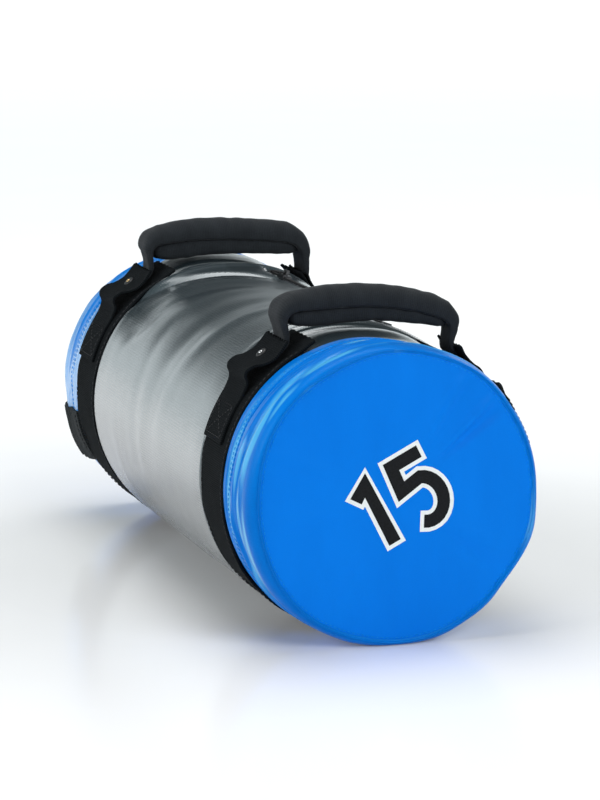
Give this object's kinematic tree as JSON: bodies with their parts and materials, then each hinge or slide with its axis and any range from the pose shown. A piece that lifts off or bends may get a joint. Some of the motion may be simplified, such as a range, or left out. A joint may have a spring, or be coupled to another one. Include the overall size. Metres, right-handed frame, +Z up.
{
  "type": "weighted fitness bag",
  "caption": "Filled fabric training cylinder with blue end caps, webbing rings, padded carry handles, side loops and a zipper along its top.",
  "frame": {"origin": "middle of the flat that the bag rests on, under the centre of its bounding box", "axes": "+X along the bag towards the numbered end, +Z up, +Y towards the back, away from the pictured side"},
  "size_m": [0.4918, 0.2172, 0.2313],
  "materials": {
    "grey_coated_cloth": "semi-gloss coated cloth with a fine weave showing through",
    "blue_coated_cloth": "glossy coated cloth, lightly creased",
    "blue_end_panel": "satin coated cloth",
    "webbing": "woven polypropylene webbing, matte",
    "grip_cover": "matte knit-faced padding",
    "foam": "closed-cell foam",
    "liner_cloth": "plain woven liner",
    "granules": "loose granules",
    "zipper_tape": "woven tape",
    "plated_metal": "plated steel",
    "black_plastic": "moulded",
    "puller_cord": "braided cord"
  },
  "bodies": {
    "bag": {"body_shell": "grey_coated_cloth", "near_cap_sleeve": "blue_coated_cloth", "far_cap_sleeve": "blue_coated_cloth", "near_end_disc": "blue_end_panel", "far_end_disc": "blue_end_panel", "near_end_pad": "foam", "far_end_pad": "foam", "inner_liner": "liner_cloth", "liner_tie": "black_plastic", "filling": "granules", "zipper_tape_front": "zipper_tape", "zipper_tape_back": "zipper_tape", "zipper_chain": "black_plastic", "zipper_near_stop": "plated_metal", "zipper_far_stop": "plated_metal", "near_base_strap": "webbing", "near_side_loop": "webbing", "near_front_root_webbing": "webbing", "near_front_rivet": "plated_metal", "near_back_root_webbing": "webbing", "near_back_rivet": "plated_metal", "far_base_strap": "webbing", "far_side_loop": "webbing", "far_front_root_webbing": "webbing", "far_front_rivet": "plated_metal", "far_back_root_webbing": "webbing", "far_back_rivet": "plated_metal"},
    "near_handle": {"near_handle_webbing": "webbing", "near_grip_foam": "foam", "near_grip_cover": "grip_cover"},
    "far_handle": {"far_handle_webbing": "webbing", "far_grip_foam": "foam", "far_grip_cover": "grip_cover"},
    "slider": {"zipper_slider": "plated_metal"},
    "puller": {"zipper_puller": "puller_cord"}
  },
  "joints": [
    {"name": "near_handle_swing", "type": "hinge", "parent": "bag", "child": "near_handle", "pos_m": [0.1608, 0.00552, 0.1897], "axis": [0, 0.9981, -0.061], "range_deg": [-36, 36]},
    {"name": "far_handle_swing", "type": "hinge", "parent": "bag", "child": "far_handle", "pos_m": [-0.1728, 0.00552, 0.1897], "axis": [0, 0.9981, -0.061], "range_deg": [-36, 36]},
    {"name": "zipper_slide", "type": "slide", "parent": "bag", "child": "slider", "axis": [1, 0, 0], "range_m": [0, 0.198]},
    {"name": "puller_flip", "type": "hinge", "parent": "slider", "child": "puller", "pos_m": [-0.0994, 0.03539, 0.19673], "axis": [0, 0.9397, -0.342], "range_deg": [0, 170]}
  ]
}
